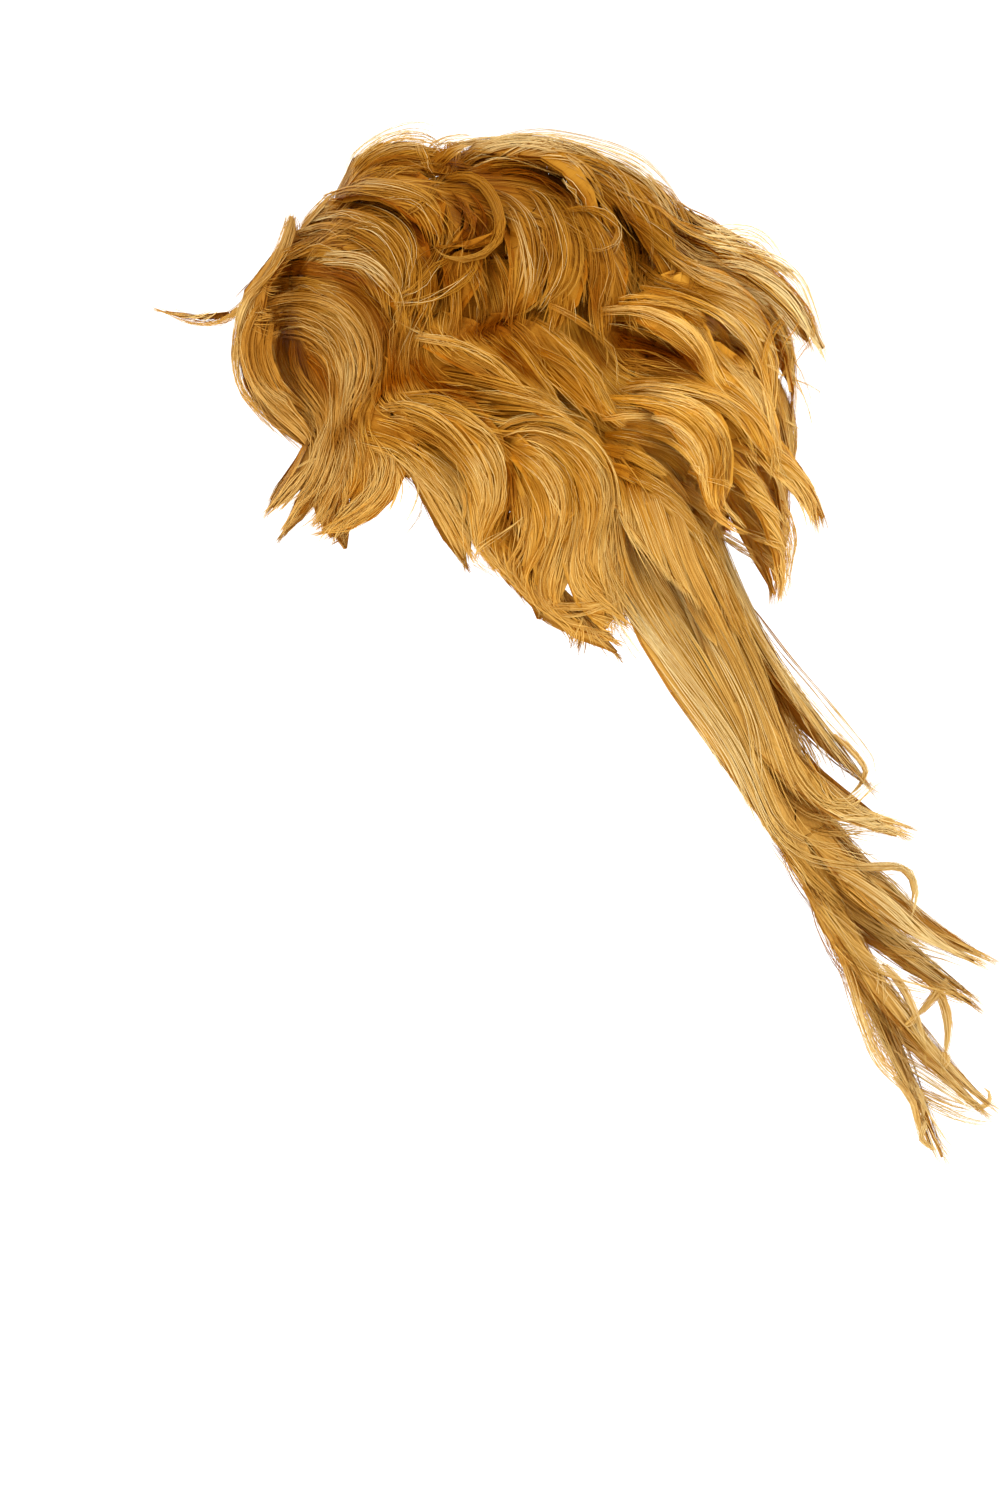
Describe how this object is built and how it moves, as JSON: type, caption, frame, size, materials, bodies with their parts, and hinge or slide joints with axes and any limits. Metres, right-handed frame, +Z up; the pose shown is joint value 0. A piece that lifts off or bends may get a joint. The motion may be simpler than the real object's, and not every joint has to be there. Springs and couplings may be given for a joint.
{
  "type": "wig",
  "caption": "Layered blond wig of tousled curls on a stretch cap, with a side-swept fringe, flicked back layers and a long tail of hair at the nape; worn on the head.",
  "frame": {"origin": "inside top of the cap, where the crown of the wearer's head sits", "axes": "+Z up, -Y the way the wearer faces, +X towards the wearer's left ear"},
  "size_m": [0.2216, 0.4136, 0.5151],
  "materials": {
    "cap": "knitted stretch net",
    "hair_roots": "silky synthetic fibre, darker at the roots",
    "hair_lengths": "silky synthetic fibre",
    "hair_tail": "silky synthetic fibre, paler at the tips"
  },
  "bodies": {
    "root": {"wig_cap": "cap", "crown": "hair_roots", "fringe": "hair_roots", "side_left": "hair_lengths", "side_right": "hair_lengths", "back_layers": "hair_lengths", "tail": "hair_tail"}
  },
  "joints": []
}
